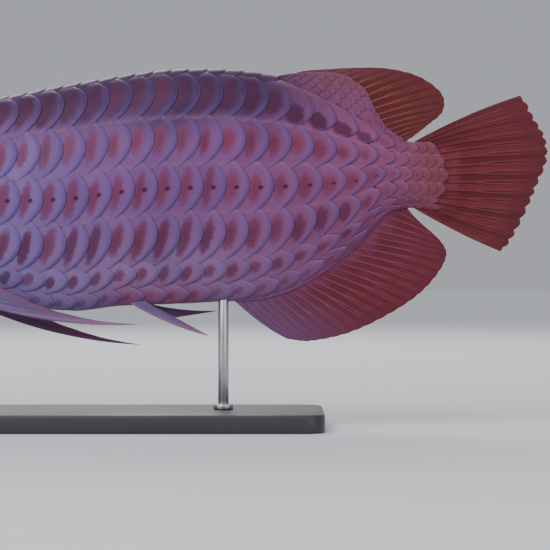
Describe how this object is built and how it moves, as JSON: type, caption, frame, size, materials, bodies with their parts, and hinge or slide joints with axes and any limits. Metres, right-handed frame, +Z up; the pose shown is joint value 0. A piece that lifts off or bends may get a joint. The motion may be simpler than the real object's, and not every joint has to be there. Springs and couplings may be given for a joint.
{
  "type": "asian arowana model",
  "caption": "Life-size still model of a long, deep-bodied freshwater fish with large scales, two chin barbels and fan-shaped fins, held over a flat base by short rods.",
  "frame": {"origin": "on the floor, under the middle of the model's box: the underside of the stand's base, half way along the fish from the tips of the barbels to the end of the tail fin", "axes": "+Z up, +X along the fish towards its tail, so that it swims towards -X, and its left side faces -Y"},
  "size_m": [0.5798, 0.124, 0.2401],
  "materials": {
    "scaled_skin": "satin, as wet fish scales: mauve with dark red centres",
    "head_skin": "satin, as wet bone plates under thin skin",
    "gill_cover": "pearly satin",
    "eye": "polished",
    "median_fin": "satin, deep red skin between lighter rays",
    "paired_fin": "satin",
    "stand_base": "fine satin black",
    "stand_rod": "brushed"
  },
  "bodies": {
    "root": {"head": "head_skin", "lower_jaw": "head_skin", "gill_cover_left": "gill_cover", "gill_cover_right": "gill_cover", "eye_left": "eye", "eye_right": "eye", "barbel_left": "paired_fin", "barbel_right": "paired_fin", "trunk": "scaled_skin", "tail_stalk": "scaled_skin", "dorsal_fin": "median_fin", "anal_fin": "median_fin", "caudal_fin": "median_fin", "pectoral_fin_left": "paired_fin", "pectoral_fin_right": "paired_fin", "pelvic_fin_left": "paired_fin", "pelvic_fin_right": "paired_fin", "stand_base": "stand_base", "stand_rod_front": "stand_rod", "stand_rod_rear": "stand_rod"}
  },
  "joints": []
}
